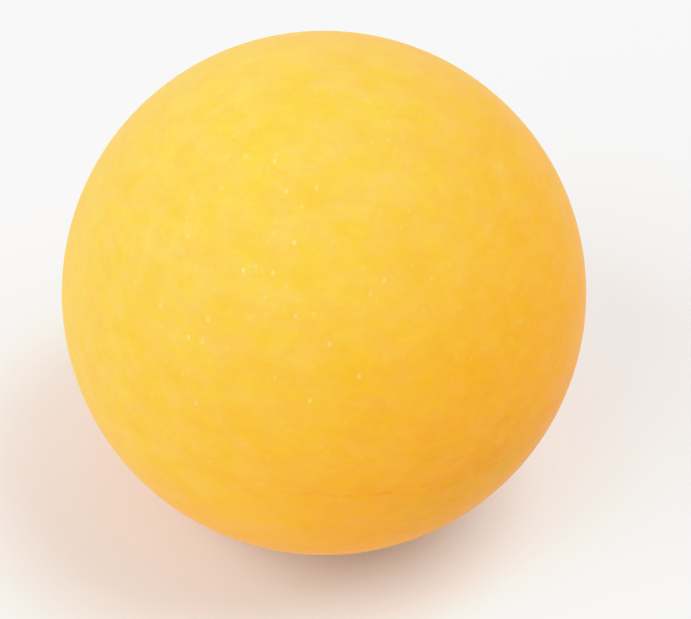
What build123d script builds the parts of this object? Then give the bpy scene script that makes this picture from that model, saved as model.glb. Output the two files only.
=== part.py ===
from build123d import *
import os
from math import asin, cos, degrees, radians, sin, sqrt

# Table tennis ball, built as the seamed kind is built: two thin half shells of the same
# pressing stand edge to edge, and a narrow band is cemented inside, across their joint.
#
# Frame: millimetres, origin at the ball's centre, +Z along the axis of the seam. The seam
# lies in the plane z = 0, and the upper half is the one with z above 0.

os.makedirs("parts", exist_ok=True)

# Driving dimensions
BALL_DIAMETER = 40.0  # outside, ground round
WALL = 0.38  # thickness of the half shells
BUTT_GAP = 0.04  # cement line between the two rims
RIM_EDGE_ROUND = 0.015  # outer edge of each rim, softened by the grinding
BAND_WIDTH = 3.2  # along the wall, half of it on each side of the seam
BAND_THICKNESS = 0.25
BAND_EDGE_ROUND = 0.07  # inner edges of the band
CEMENT_FILM = 0.03  # between the band and the wall
CEMENT_BEAD = 0.12  # squeezed out along each edge of the band

# Radii and heights that follow from them
BALL_RADIUS = BALL_DIAMETER / 2
WALL_INSIDE = BALL_RADIUS - WALL
BAND_OUTSIDE = WALL_INSIDE - CEMENT_FILM
BAND_INSIDE = BAND_OUTSIDE - BAND_THICKNESS
RIM_HEIGHT = BUTT_GAP / 2
BAND_EDGE_LATITUDE = degrees(asin(BAND_WIDTH / 2 / BAND_OUTSIDE))
BEAD_END_LATITUDE = BAND_EDGE_LATITUDE + degrees(CEMENT_BEAD / WALL_INSIDE)
CEMENT_OUTSIDE = BALL_RADIUS - RIM_EDGE_ROUND


def at_latitude(radius, latitude):
    """Point of the half section at this radius and latitude, in degrees."""
    return (radius * cos(radians(latitude)), radius * sin(radians(latitude)))


def at_height(radius, height):
    """Point of the half section at this radius and height above the seam plane."""
    return (sqrt(radius**2 - height**2), height)


def latitude_at(radius, height):
    """Latitude in degrees of the point at this radius and height."""
    return degrees(asin(height / radius))


def meridian(radius, start, end):
    """Arc about the ball's centre from one latitude to another."""
    return CenterArc((0, 0), radius, start, end - start)


# Upper half shell: a hemisphere of even wall, its rim trimmed flat and parallel to the
# seam plane, half the cement line above it.
with BuildPart() as upper_half_shell:
    with BuildSketch(Plane.XZ):
        with BuildLine():
            Line(at_height(WALL_INSIDE, RIM_HEIGHT), at_height(BALL_RADIUS, RIM_HEIGHT))
            meridian(BALL_RADIUS, latitude_at(BALL_RADIUS, RIM_HEIGHT), 90)
            Line((0, BALL_RADIUS), (0, WALL_INSIDE))
            meridian(WALL_INSIDE, 90, latitude_at(WALL_INSIDE, RIM_HEIGHT))
        make_face()
        fillet(vertices().sort_by(Axis.X)[-1], RIM_EDGE_ROUND)
    revolve(axis=Axis.Z)

# Lower half shell: the same pressing turned over.
with BuildPart() as lower_half_shell:
    mirror(upper_half_shell.part, about=Plane.XY)

# Inner seam band: a ring of the same curve as the wall, centred on the seam, with its two
# inner edges rounded.
with BuildPart() as inner_seam_band:
    with BuildSketch(Plane.XZ):
        with BuildLine():
            meridian(BAND_OUTSIDE, -BAND_EDGE_LATITUDE, BAND_EDGE_LATITUDE)
            Line(
                at_latitude(BAND_OUTSIDE, BAND_EDGE_LATITUDE),
                at_latitude(BAND_INSIDE, BAND_EDGE_LATITUDE),
            )
            meridian(BAND_INSIDE, BAND_EDGE_LATITUDE, -BAND_EDGE_LATITUDE)
            Line(
                at_latitude(BAND_INSIDE, -BAND_EDGE_LATITUDE),
                at_latitude(BAND_OUTSIDE, -BAND_EDGE_LATITUDE),
            )
        make_face()
        fillet(vertices().group_by(SortBy.DISTANCE)[0], BAND_EDGE_ROUND)
    revolve(axis=Axis.Z)

# Band cement: the film that holds the band in the lower half, which is cemented first. It
# ends in a bead squeezed out below the band's lower edge.
with BuildPart() as band_cement:
    with BuildSketch(Plane.XZ):
        with BuildLine():
            Line(at_height(BAND_OUTSIDE, -RIM_HEIGHT), at_height(WALL_INSIDE, -RIM_HEIGHT))
            meridian(WALL_INSIDE, latitude_at(WALL_INSIDE, -RIM_HEIGHT), -BEAD_END_LATITUDE)
            Line(
                at_latitude(WALL_INSIDE, -BEAD_END_LATITUDE),
                at_latitude(BAND_OUTSIDE - CEMENT_BEAD, -BAND_EDGE_LATITUDE),
            )
            Line(
                at_latitude(BAND_OUTSIDE - CEMENT_BEAD, -BAND_EDGE_LATITUDE),
                at_latitude(BAND_OUTSIDE, -BAND_EDGE_LATITUDE),
            )
            meridian(BAND_OUTSIDE, -BAND_EDGE_LATITUDE, latitude_at(BAND_OUTSIDE, -RIM_HEIGHT))
        make_face()
    revolve(axis=Axis.Z)

# Closing cement: the film between the band and the upper half, with its bead, and the web
# between the two rims that shows outside as the seam line, just below the surface.
with BuildPart() as closing_cement:
    with BuildSketch(Plane.XZ):
        with BuildLine():
            Line(at_height(BAND_OUTSIDE, -RIM_HEIGHT), at_height(CEMENT_OUTSIDE, -RIM_HEIGHT))
            Line(at_height(CEMENT_OUTSIDE, -RIM_HEIGHT), at_height(CEMENT_OUTSIDE, RIM_HEIGHT))
            Line(at_height(CEMENT_OUTSIDE, RIM_HEIGHT), at_height(WALL_INSIDE, RIM_HEIGHT))
            meridian(WALL_INSIDE, latitude_at(WALL_INSIDE, RIM_HEIGHT), BEAD_END_LATITUDE)
            Line(
                at_latitude(WALL_INSIDE, BEAD_END_LATITUDE),
                at_latitude(BAND_OUTSIDE - CEMENT_BEAD, BAND_EDGE_LATITUDE),
            )
            Line(
                at_latitude(BAND_OUTSIDE - CEMENT_BEAD, BAND_EDGE_LATITUDE),
                at_latitude(BAND_OUTSIDE, BAND_EDGE_LATITUDE),
            )
            meridian(BAND_OUTSIDE, BAND_EDGE_LATITUDE, latitude_at(BAND_OUTSIDE, -RIM_HEIGHT))
        make_face()
    revolve(axis=Axis.Z)

upper_half_shell.part.label = "upper_half_shell"
lower_half_shell.part.label = "lower_half_shell"
inner_seam_band.part.label = "inner_seam_band"
band_cement.part.label = "band_cement"
closing_cement.part.label = "closing_cement"

export_step(upper_half_shell.part, "parts/upper_half_shell.step")
export_step(lower_half_shell.part, "parts/lower_half_shell.step")
export_step(inner_seam_band.part, "parts/inner_seam_band.step")
export_step(band_cement.part, "parts/band_cement.step")
export_step(closing_cement.part, "parts/closing_cement.step")
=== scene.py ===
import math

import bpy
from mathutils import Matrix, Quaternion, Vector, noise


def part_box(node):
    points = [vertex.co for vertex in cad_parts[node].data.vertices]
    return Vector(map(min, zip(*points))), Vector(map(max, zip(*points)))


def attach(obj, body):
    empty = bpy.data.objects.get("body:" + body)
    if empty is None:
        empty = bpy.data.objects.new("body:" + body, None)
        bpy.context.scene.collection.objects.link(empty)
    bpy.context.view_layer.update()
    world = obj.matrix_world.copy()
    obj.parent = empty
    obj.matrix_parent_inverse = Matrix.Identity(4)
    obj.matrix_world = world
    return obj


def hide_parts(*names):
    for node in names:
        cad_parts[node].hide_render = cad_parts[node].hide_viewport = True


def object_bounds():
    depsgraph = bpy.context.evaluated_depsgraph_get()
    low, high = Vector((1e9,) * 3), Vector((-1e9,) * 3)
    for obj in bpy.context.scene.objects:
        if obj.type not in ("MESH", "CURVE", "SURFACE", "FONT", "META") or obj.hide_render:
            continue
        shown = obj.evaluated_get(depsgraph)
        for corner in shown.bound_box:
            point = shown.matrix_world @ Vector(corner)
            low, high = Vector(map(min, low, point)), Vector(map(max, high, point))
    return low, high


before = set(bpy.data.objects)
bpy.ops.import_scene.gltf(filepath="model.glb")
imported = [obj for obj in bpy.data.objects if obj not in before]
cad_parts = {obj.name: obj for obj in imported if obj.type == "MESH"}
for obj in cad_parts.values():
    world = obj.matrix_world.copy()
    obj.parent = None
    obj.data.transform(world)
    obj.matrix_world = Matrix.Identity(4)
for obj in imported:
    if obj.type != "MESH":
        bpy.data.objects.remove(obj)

# Looks of the table tennis ball. Metres, in the CAD's frame: origin at the ball's centre,
# +Z along the seam's axis. The two half shells are rebuilt here as fine meshes, with the
# ground-down groove of the seam. The band and the cement inside keep their CAD meshes.

MM = 0.001
CAD_LOW, CAD_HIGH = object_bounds()

# Sizes that the frame gives
RIM_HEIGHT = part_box("upper_half_shell")[0].z
BALL_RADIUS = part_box("upper_half_shell")[1].z
WALL_INSIDE = min(v.co.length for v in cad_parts["upper_half_shell"].data.vertices)
FLOOR_HEIGHT = CAD_LOW.z

# Half shell mesh
CAP_CELLS = 48  # cells from the pole to the edge of the cap's square grid
CAP_LATITUDE = math.radians(8)  # below this the mesh is plain rings, closer towards the rim
RIM_STEPS_MM = (0.0, 0.02, 0.045, 0.08, 0.13, 0.2, 0.32, 0.5, 0.8, 1.25, 1.8, 2.35)
SQUARE_CORNER_TURN = 1 / 8  # each ring starts this part of a turn before +X, at a corner
SHARP_ANGLE = math.radians(50)

# Groove that the grinding left along the seam, a little uneven round the ball
GROOVE_DEPTH = 0.010 * MM
GROOVE_REACH = 0.3 * MM  # this far from the rim the groove is down to a third of its depth
GROOVE_SLOW = 9.0  # radius of the circle on which the noise is read: more gives more waves
GROOVE_FINE = 4.7  # the second noise is this many times finer
GROOVE_DEPTH_VARIES = (0.35, 0.15)  # shares of the depth, by the slow and the fine noise
GROOVE_REACH_VARIES = (0.5, 0.2)

# Camera: how high it stands over the seam plane, how far it is rolled, and where in the
# frame the ball's centre and outline lie, as shares of the frame's width
CAMERA_ELEVATION = math.radians(47.4)
CAMERA_ROLL = math.radians(7.0)
LENS_MM = 200.0
SENSOR_MM = 36.0
OUTLINE_RADIUS = 0.3796
CENTRE_LEFT = 0.0310
CENTRE_UP = 0.0240
CLIP_NEAR = 0.01  # shares of the camera's distance from the ball
CLIP_FAR = 100.0

# Light: an even pale surround and soft round lamps, most of them on the camera's left.
# Each lamp has its direction from the ball, along the camera's right, its up and its back,
# and its power in watts.
SKY_STRENGTH = 0.35
LAMP_SIZE = 0.45
LAMP_DISTANCE = 0.55
LAMPS = (
    ("left", (-0.75, 0.20, 0.62), 1.2),
    ("front_left", (-0.50, 0.10, 0.86), 1.25),
    ("lower_left", (-0.93, -0.10, 0.35), 0.55),
    ("upper_right", (0.50, 0.60, 0.60), 2.05),
    ("top", (0.30, 0.90, 0.30), 0.45),
    ("back_left", (-0.62, 0.68, -0.45), 1.0),
    ("back_top", (0.20, 0.85, -0.45), 0.4),
)

# Floor: a disc of pale paper
FLOOR_RADIUS = 3.0
FLOOR_CORNERS = 96
FLOOR_WHITE = (0.74, 0.74, 0.74)
FLOOR_ROUGHNESS = 0.9

# Tone, in linear light: like a camera's, it falls off faster in the dark, which deepens the
# orange where less light reaches it, and levels off towards white
TOE_END = 0.13  # less light than this lies on the toe
TOE_POWER = 2.4
TOE_STEPS = 8
SHOULDER = ((0.88, 0.88), (1.0, 0.925), (1.15, 0.948), (1.4, 0.974))  # light and its tone
WHITE_FROM = 1.6  # this much light is white
TONE_RANGE = 2.0  # the curve is drawn up to this much light
COMBINED_CURVE = 3  # after the red, the green and the blue one

# Colours, linear. Tints, dapples and dabs are multiplied in.
PALE_CLOUD = (0.985, 0.458, 0.061)
DEEP_CLOUD = (0.975, 0.406, 0.0465)
LEMON_TINT = (0.98, 1.0, 0.82)
PEACH_TINT = (1.01, 1.0, 1.19)
LIGHT_DAPPLE = (1.035, 1.035, 1.035)
DARK_DAPPLE = (0.953, 0.953, 0.953)
# pale flecks, partly painted glints
PALE_SPECK_AND_GLINT = (0.96, 0.58, 0.185)
DARK_SPECK = (0.9, 0.32, 0.035)
# painted shade: along the seam the band inside doubles the wall, so less light shines through
SEAM_BAND_SHADE = (1.0, 0.945, 0.95)
SEAM_DAB = (0.93, 0.8, 0.7)
BAND_CELLULOID = (0.98, 0.432, 0.054)
# a little paler than the shell: painted light that evens out the shade in the seam's shallow
# gap
CEMENT_WITH_PAINTED_LIGHT = (0.97, 0.48, 0.075)

# Patterns: how many features a noise has per millimetre, how far it is moved so that it shows
# another stretch, and what part of 0 to 1 it mostly fills
CLOUDS_PER_MM = 0.3
TINT_PER_MM = 0.42
DAPPLE_PER_MM = 0.7
GRAIN_PER_MM = 7.0
TINT_MOVE = (11.0, 23.0, 7.0)
DAPPLE_MOVE = (31.0, 17.0, 5.0)
NOISE_SPAN = (0.3, 0.7)
STREAK_SQUEEZE = (0.8, 1.0, 1.5)  # longer along X and thinner along Z, for sideways streaks
GRAIN_HEIGHT = 0.004 * MM

# Shell finish
SHELL_ROUGHNESS = (0.65, 0.75)
SHELL_SPECULAR = 0.35
SHELL_SHEEN = 0.06
SHEEN_ROUGHNESS = 0.3

# Specks on the shell, in millimetres. The pale ones are partly flecks of the ground surface and
# partly painted glints, most of them on the lit front left.
PALE_SPACING = 1.4
DARK_SPACING = 2.6
SPECK_RADIUS = 0.26
SPECK_CORE = 0.2  # share of the radius within which a speck is at its full strength
PALE_SPECK_SQUEEZE = (1.25, 0.9, 0.9)
DARK_SPECK_MOVE = (7.0, 3.0, 11.0)
DARK_SPECK_STRENGTH = 0.5
# painted glints gather round this lit spot; the flecks show all over
GLINT_SPOT = (-4.0, -14.0, 14.0)  # the pale specks show most around here
GLINT_WITHIN = 5.0
GLINT_BEYOND = 15.0
BEYOND_GLINT_STRENGTH = 0.25

# Seam's colour, in millimetres: a soft band of painted shade, stronger in patches, and short
# dabs on the line
SEAM_BAND_SHADE_REACH = 1.9
SEAM_PATCHES_PER_MM = 0.25
SEAM_PATCH_NOISE = (0.35, 0.65)
SEAM_PATCH_STRENGTH = (0.6, 1.0)
SEAM_DAB_REACH = 0.28
SEAM_DABS_PER_MM = 1.1
SEAM_DAB_NOISE = (0.58, 0.68)
SEAM_DAB_MOVE = (21.0, 14.0, 35.0)
SEAM_FADED_SPOT = (-15.5, -12.6, 0.0)  # the seam can't be seen here
SEAM_FADED_WITHIN = 2.0
SEAM_CLEAR_BEYOND = 20.0

# Finish of the pieces inside
BAND_ROUGHNESS = 0.4
BAND_GRAIN_PER_MM = 5.0
CEMENT_ROUGHNESS = 0.3
CEMENT_GRAIN_PER_MM = 2.0
INSIDE_CLOUDS_PER_MM = 0.8
INSIDE_DEEPER = 0.93  # the deep clouds' share of the colour
INSIDE_ROUGHER = 0.1
INSIDE_GRAIN_HEIGHT = 0.003 * MM


# ---------------------------------------------------------------- half shells

def square_ring(cells):
    """Grid corners around a square of this half width, anticlockwise from its lower right."""
    side = range(-cells, cells)
    return (
        [(cells, k) for k in side]
        + [(-k, cells) for k in side]
        + [(-cells, -k) for k in side]
        + [(k, -cells) for k in side]
    )


def groove(azimuth, along):
    """How far the outer surface lies under the round, this far from the rim."""
    spot = Vector((math.cos(azimuth), math.sin(azimuth), 0.0)) * GROOVE_SLOW
    slow = noise.noise(spot)
    fine = noise.noise(spot * GROOVE_FINE)
    depth = GROOVE_DEPTH * (1.0 + GROOVE_DEPTH_VARIES[0] * slow + GROOVE_DEPTH_VARIES[1] * fine)
    reach = GROOVE_REACH * (1.0 + GROOVE_REACH_VARIES[0] * slow + GROOVE_REACH_VARIES[1] * fine)
    return depth * math.exp(-((along / reach) ** 2))


def shell_point(radius, azimuth, along, side, outside):
    """Point of the wall's outer or inner face, this far along the face from the rim."""
    latitude = math.asin(RIM_HEIGHT / radius) + along / radius
    if outside:
        radius -= groove(azimuth, along)
    flat = radius * math.cos(latitude)
    height = radius * math.sin(latitude)
    return (flat * math.cos(azimuth), flat * math.sin(azimuth), side * height)


def add_ring(points, count, radius, along, side, outside):
    """Adds a ring of points, this far along the face from the rim, and gives their numbers."""
    first = len(points)
    for k in range(count):
        azimuth = math.tau * (k / count - SQUARE_CORNER_TURN)
        points.append(shell_point(radius, azimuth, along, side, outside))
    return list(range(first, len(points)))


def add_belt(faces, lower, upper, flip):
    """Quads between two rings of the same count."""
    count = len(lower)
    for k in range(count):
        n = (k + 1) % count
        quad = [lower[k], lower[n], upper[n], upper[k]]
        faces.append(quad[::-1] if flip else quad)


def add_face(radius, side, outside, points, faces):
    """Adds one face of the wall, outer or inner, and gives the numbers of its rim ring."""
    cap_along = radius * (CAP_LATITUDE - math.asin(RIM_HEIGHT / radius))
    quarter = radius * (math.pi / 2 - math.asin(RIM_HEIGHT / radius))
    corner = {}
    rings = []
    for cells in range(CAP_CELLS, 0, -1):
        along = quarter - (quarter - cap_along) * cells / CAP_CELLS
        rings.append(add_ring(points, 8 * cells, radius, along, side, outside))
        corner.update(zip(square_ring(cells), rings[-1]))
    corner[0, 0] = len(points)
    points.append((0.0, 0.0, side * radius))

    # Quads face +Z as they come, so two of the four faces of the ball's halves are flipped
    flip = (side > 0) != outside
    for a in range(-CAP_CELLS, CAP_CELLS):
        for b in range(-CAP_CELLS, CAP_CELLS):
            quad = [corner[a, b], corner[a + 1, b], corner[a + 1, b + 1], corner[a, b + 1]]
            faces.append(quad[::-1] if flip else quad)

    above = rings[0]
    for step in reversed(RIM_STEPS_MM):
        ring = add_ring(points, len(above), radius, step * MM, side, outside)
        add_belt(faces, ring, above, flip)
        above = ring
    return above


def half_shell(name, side):
    """Closed thin wall of one half. Side is 1 for the upper half and -1 for the lower."""
    points, faces = [], []
    outer_rim = add_face(BALL_RADIUS, side, True, points, faces)
    inner_rim = add_face(WALL_INSIDE, side, False, points, faces)
    add_belt(faces, inner_rim, outer_rim, side < 0)
    mesh = bpy.data.meshes.new(name)
    mesh.from_pydata(points, [], faces)
    mesh.validate()
    mesh.shade_smooth()
    mesh.set_sharp_from_angle(angle=SHARP_ANGLE)
    shell = bpy.data.objects.new(name, mesh)
    bpy.context.scene.collection.objects.link(shell)
    return shell


# ---------------------------------------------------------------- materials

class Nodes:
    """Short names for making and joining shader nodes of one material."""

    def __init__(self, name):
        self.material = bpy.data.materials.new(name)
        self.material.use_nodes = True
        self.tree = self.material.node_tree
        self.shader = self.tree.nodes["Principled BSDF"]

    def add(self, kind, **settings):
        node = self.tree.nodes.new("ShaderNode" + kind)
        for key, value in settings.items():
            setattr(node, key, value)
        return node

    def set(self, socket, value):
        """Value is a socket to join, or a constant."""
        if isinstance(value, bpy.types.NodeSocket):
            self.tree.links.new(value, socket)
        else:
            socket.default_value = value

    def place(self, squeeze=(1, 1, 1)):
        """Position in millimetres. Above 1, a squeeze makes patterns finer along its axis."""
        coordinates = self.add("TexCoord").outputs["Object"]
        scaled = self.add("VectorMath", operation="MULTIPLY")
        self.set(scaled.inputs[0], coordinates)
        self.set(scaled.inputs[1], tuple(s / MM for s in squeeze))
        return scaled.outputs[0]

    def moved(self, place, offset):
        """The same place moved by this much, so that another stretch of a pattern shows."""
        added = self.add("VectorMath", operation="ADD")
        self.set(added.inputs[0], place)
        self.set(added.inputs[1], offset)
        return added.outputs[0]

    def distance(self, place, spot):
        """How far the place is from one spot, in the place's units."""
        measured = self.add("VectorMath", operation="DISTANCE")
        self.set(measured.inputs[0], place)
        self.set(measured.inputs[1], spot)
        return measured.outputs["Value"]

    def component(self, vector, axis):
        """One component of a place or a colour: X, Y or Z."""
        split = self.add("SeparateXYZ")
        self.set(split.inputs[0], vector)
        return split.outputs[axis]

    def noise(self, place, per_mm, detail=2.0, roughness=0.5):
        """Smooth noise around 0.5, with this many features per millimetre."""
        texture = self.add("TexNoise")
        self.set(texture.inputs["Vector"], place)
        self.set(texture.inputs["Scale"], per_mm)
        self.set(texture.inputs["Detail"], detail)
        self.set(texture.inputs["Roughness"], roughness)
        return texture.outputs["Fac"]

    def ramp(self, value, low, high, to_low=0.0, to_high=1.0):
        """Maps low..high to to_low..to_high, smoothly and held at the ends."""
        mapped = self.add("MapRange", interpolation_type="SMOOTHSTEP")
        self.set(mapped.inputs["Value"], value)
        self.set(mapped.inputs["From Min"], low)
        self.set(mapped.inputs["From Max"], high)
        self.set(mapped.inputs["To Min"], to_low)
        self.set(mapped.inputs["To Max"], to_high)
        return mapped.outputs["Result"]

    def math(self, operation, a, b=0.0):
        made = self.add("Math", operation=operation)
        self.set(made.inputs[0], a)
        self.set(made.inputs[1], b)
        return made.outputs[0]

    def mix(self, factor, a, b, blend="MIX"):
        """Colour a where the factor is 0, and b, or a blended with b, where it is 1."""
        mixer = self.add("Mix", data_type="RGBA", blend_type=blend)
        self.set(mixer.inputs[0], factor)
        sockets = [s for s in mixer.inputs if s.type == "RGBA"]
        for socket, colour in zip(sockets, (a, b)):
            joined = isinstance(colour, bpy.types.NodeSocket)
            self.set(socket, colour if joined else (*colour, 1.0))
        return [s for s in mixer.outputs if s.type == "RGBA"][0]

    def specks(self, place, spacing, radius):
        """Small round spots of random strength about this far apart, in the place's units."""
        cells = self.add("TexVoronoi")
        self.set(cells.inputs["Vector"], place)
        self.set(cells.inputs["Scale"], 1.0 / spacing)
        core = SPECK_CORE * radius / spacing
        spots = self.ramp(cells.outputs["Distance"], core, radius / spacing, 1.0, 0.0)
        return self.math("MULTIPLY", spots, self.component(cells.outputs["Color"], "X"))

    def bump(self, height, distance):
        made = self.add("Bump")
        self.set(made.inputs["Height"], height)
        self.set(made.inputs["Distance"], distance)
        self.set(made.inputs["Strength"], 1.0)
        return made.outputs["Normal"]


def shell_material():
    """Matt pigmented celluloid: pale and deep clouds, small specks and the seam's tint."""
    n = Nodes("ground_celluloid")
    place = n.place()
    streaked = n.place(STREAK_SQUEEZE)
    dapple_place = n.moved(streaked, DAPPLE_MOVE)
    dapple = n.noise(dapple_place, DAPPLE_PER_MM, detail=5.0, roughness=0.85)

    colour = clouded_colour(n, streaked, dapple)
    colour = seam_colour(n, place, colour)
    colour = speckled_colour(n, place, colour)
    roughness = n.ramp(dapple, *NOISE_SPAN, *SHELL_ROUGHNESS)
    n.set(n.shader.inputs["Base Color"], colour)
    n.set(n.shader.inputs["Roughness"], roughness)
    n.set(n.shader.inputs["Specular IOR Level"], SHELL_SPECULAR)
    n.set(n.shader.inputs["Sheen Weight"], SHELL_SHEEN)
    n.set(n.shader.inputs["Sheen Roughness"], SHEEN_ROUGHNESS)

    grain = n.noise(place, GRAIN_PER_MM, detail=3.0, roughness=0.6)
    n.set(n.shader.inputs["Normal"], n.bump(grain, GRAIN_HEIGHT))
    return n.material


def clouded_colour(n, streaked, dapple):
    """Pale and deep clouds, tinted lemon and peach, with a finer light and dark dapple."""
    clouds = n.noise(streaked, CLOUDS_PER_MM, detail=7.0, roughness=0.84)
    colour = n.mix(n.ramp(clouds, *NOISE_SPAN), DEEP_CLOUD, PALE_CLOUD)
    tint_place = n.moved(streaked, TINT_MOVE)
    tint = n.noise(tint_place, TINT_PER_MM, detail=4.0, roughness=0.7)
    tints = n.mix(n.ramp(tint, *NOISE_SPAN), LEMON_TINT, PEACH_TINT)
    colour = n.mix(1.0, colour, tints, "MULTIPLY")
    dapples = n.mix(n.ramp(dapple, *NOISE_SPAN), DARK_DAPPLE, LIGHT_DAPPLE)
    return n.mix(1.0, colour, dapples, "MULTIPLY")


def seam_colour(n, place, colour):
    """Painted shade in a soft band over the inner joint band, where the doubled wall lets less
    light through, and short dabs along the seam itself.
    """
    height = n.math("ABSOLUTE", n.component(place, "Z"))
    faded = n.distance(place, SEAM_FADED_SPOT)
    clear = n.ramp(faded, SEAM_FADED_WITHIN, SEAM_CLEAR_BEYOND)
    patch = n.noise(place, SEAM_PATCHES_PER_MM)
    strength = n.math("MULTIPLY", clear, n.ramp(patch, *SEAM_PATCH_NOISE, *SEAM_PATCH_STRENGTH))
    # painted shade where the band inside doubles the wall and lets less light through
    band = n.math("MULTIPLY", n.ramp(height, 0.0, SEAM_BAND_SHADE_REACH, 1.0, 0.0), strength)
    colour = n.mix(band, colour, SEAM_BAND_SHADE, "MULTIPLY")
    along = n.ramp(n.noise(n.moved(place, SEAM_DAB_MOVE), SEAM_DABS_PER_MM), *SEAM_DAB_NOISE)
    dabs = n.math("MULTIPLY", n.ramp(height, 0.0, SEAM_DAB_REACH, 1.0, 0.0), along)
    return n.mix(n.math("MULTIPLY", dabs, strength), colour, SEAM_DAB, "MULTIPLY")


def speckled_colour(n, place, colour):
    """Pale specks, partly painted glints, most of them round the lit spot, and faint dark ones
    all over.
    """
    off_spot = n.distance(place, GLINT_SPOT)
    glint_share = n.ramp(off_spot, GLINT_WITHIN, GLINT_BEYOND, 1.0, BEYOND_GLINT_STRENGTH)
    pale = n.specks(n.place(PALE_SPECK_SQUEEZE), PALE_SPACING, SPECK_RADIUS)
    # pale specks: partly flecks, partly painted glints, most round the lit spot
    colour = n.mix(n.math("MULTIPLY", pale, glint_share), colour, PALE_SPECK_AND_GLINT)
    dark = n.specks(n.moved(place, DARK_SPECK_MOVE), DARK_SPACING, SPECK_RADIUS)
    return n.mix(n.math("MULTIPLY", dark, DARK_SPECK_STRENGTH), colour, DARK_SPECK)


def inside_material(name, colour, roughness, grain_per_mm):
    """Base for the pieces inside: a little cloudy, with fine grain."""
    n = Nodes(name)
    place = n.place()
    clouds = n.noise(place, INSIDE_CLOUDS_PER_MM, detail=3.0)
    deep = tuple(INSIDE_DEEPER * c for c in colour)
    n.set(n.shader.inputs["Base Color"], n.mix(n.ramp(clouds, *NOISE_SPAN), deep, colour))
    rough = n.ramp(clouds, *NOISE_SPAN, roughness, roughness + INSIDE_ROUGHER)
    n.set(n.shader.inputs["Roughness"], rough)
    grain = n.noise(place, grain_per_mm)
    n.set(n.shader.inputs["Normal"], n.bump(grain, INSIDE_GRAIN_HEIGHT))
    return n.material


# ---------------------------------------------------------------- camera and stage

def aim_camera():
    """Camera on the -Y side, raised over the seam plane, rolled, the ball off centre."""
    data = bpy.data.cameras.new("camera")
    data.lens = LENS_MM
    data.sensor_width = SENSOR_MM
    camera = bpy.data.objects.new("camera", data)
    bpy.context.scene.collection.objects.link(camera)
    bpy.context.scene.camera = camera
    widths = LENS_MM / SENSOR_MM
    distance = BALL_RADIUS / math.sin(math.atan(OUTLINE_RADIUS / widths))
    back = Vector((0.0, -math.cos(CAMERA_ELEVATION), math.sin(CAMERA_ELEVATION)))
    look = (-back).to_track_quat("-Z", "Y") @ Quaternion((0, 0, 1), CAMERA_ROLL)
    seen_at = Vector((-CENTRE_LEFT, CENTRE_UP, -widths)).normalized()
    turn = Vector((0, 0, -1)).rotation_difference(seen_at)
    camera.rotation_mode = "QUATERNION"
    camera.rotation_quaternion = look @ turn.inverted()
    camera.location = back * distance
    data.clip_start = distance * CLIP_NEAR
    data.clip_end = distance * CLIP_FAR
    return look


def light_surround():
    """Pale even light from all round."""
    world = bpy.data.worlds.new("surround")
    bpy.context.scene.world = world
    world.use_nodes = True
    background = world.node_tree.nodes["Background"]
    background.inputs["Color"].default_value = (1, 1, 1, 1)
    background.inputs["Strength"].default_value = SKY_STRENGTH


def hang_lamps(look):
    """Soft round lamps about the ball, in directions given from the camera's look."""
    for name, towards, power in LAMPS:
        data = bpy.data.lights.new(name, "AREA")
        data.shape = "DISK"
        data.size = LAMP_SIZE
        data.energy = power
        lamp = bpy.data.objects.new(name, data)
        direction = look @ Vector(towards).normalized()
        lamp.location = direction * LAMP_DISTANCE
        lamp.rotation_mode = "QUATERNION"
        lamp.rotation_quaternion = (-direction).to_track_quat("-Z", "Y")
        lamp.visible_camera = False
        bpy.context.scene.collection.objects.link(lamp)


def lay_floor():
    """Pale paper floor under the ball."""
    bpy.ops.mesh.primitive_circle_add(
        vertices=FLOOR_CORNERS,
        radius=FLOOR_RADIUS,
        fill_type="NGON",
        location=(0, 0, FLOOR_HEIGHT),
    )
    floor = bpy.context.object
    floor.name = "floor"
    n = Nodes("floor_paper")
    n.set(n.shader.inputs["Base Color"], (*FLOOR_WHITE, 1.0))
    n.set(n.shader.inputs["Roughness"], FLOOR_ROUGHNESS)
    floor.data.materials.append(n.material)


def set_tone(view):
    """Plain colours, with a camera's toe and shoulder."""
    view.view_transform = "Standard"
    view.look = "None"
    view.use_curve_mapping = True
    mapping = view.curve_mapping
    mapping.clip_max_x = TONE_RANGE
    curve = mapping.curves[COMBINED_CURVE]
    curve.points[-1].location = (WHITE_FROM, 1.0)
    for step in range(1, TOE_STEPS + 1):
        share = step / TOE_STEPS
        curve.points.new(TOE_END * step / TOE_STEPS, TOE_END * share**TOE_POWER)
    for light, tone in SHOULDER:
        curve.points.new(light, tone)
    for point in curve.points:
        point.handle_type = "VECTOR"
    mapping.update()


# ---------------------------------------------------------------- the ball

look = aim_camera()
light_surround()
hang_lamps(look)
lay_floor()

ground_celluloid = shell_material()
for side, node in ((1, "upper_half_shell"), (-1, "lower_half_shell")):
    shell = half_shell("fine_" + node, side)
    shell.data.materials.append(ground_celluloid)
    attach(shell, "root")
    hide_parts(node)

band = inside_material("band_celluloid", BAND_CELLULOID, BAND_ROUGHNESS, BAND_GRAIN_PER_MM)
cement = inside_material("dried_cement", CEMENT_WITH_PAINTED_LIGHT, CEMENT_ROUGHNESS, CEMENT_GRAIN_PER_MM)
inside = {"inner_seam_band": band, "band_cement": cement, "closing_cement": cement}
for node, material in inside.items():
    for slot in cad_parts[node].material_slots:
        slot.material = material

set_tone(bpy.context.scene.view_settings)
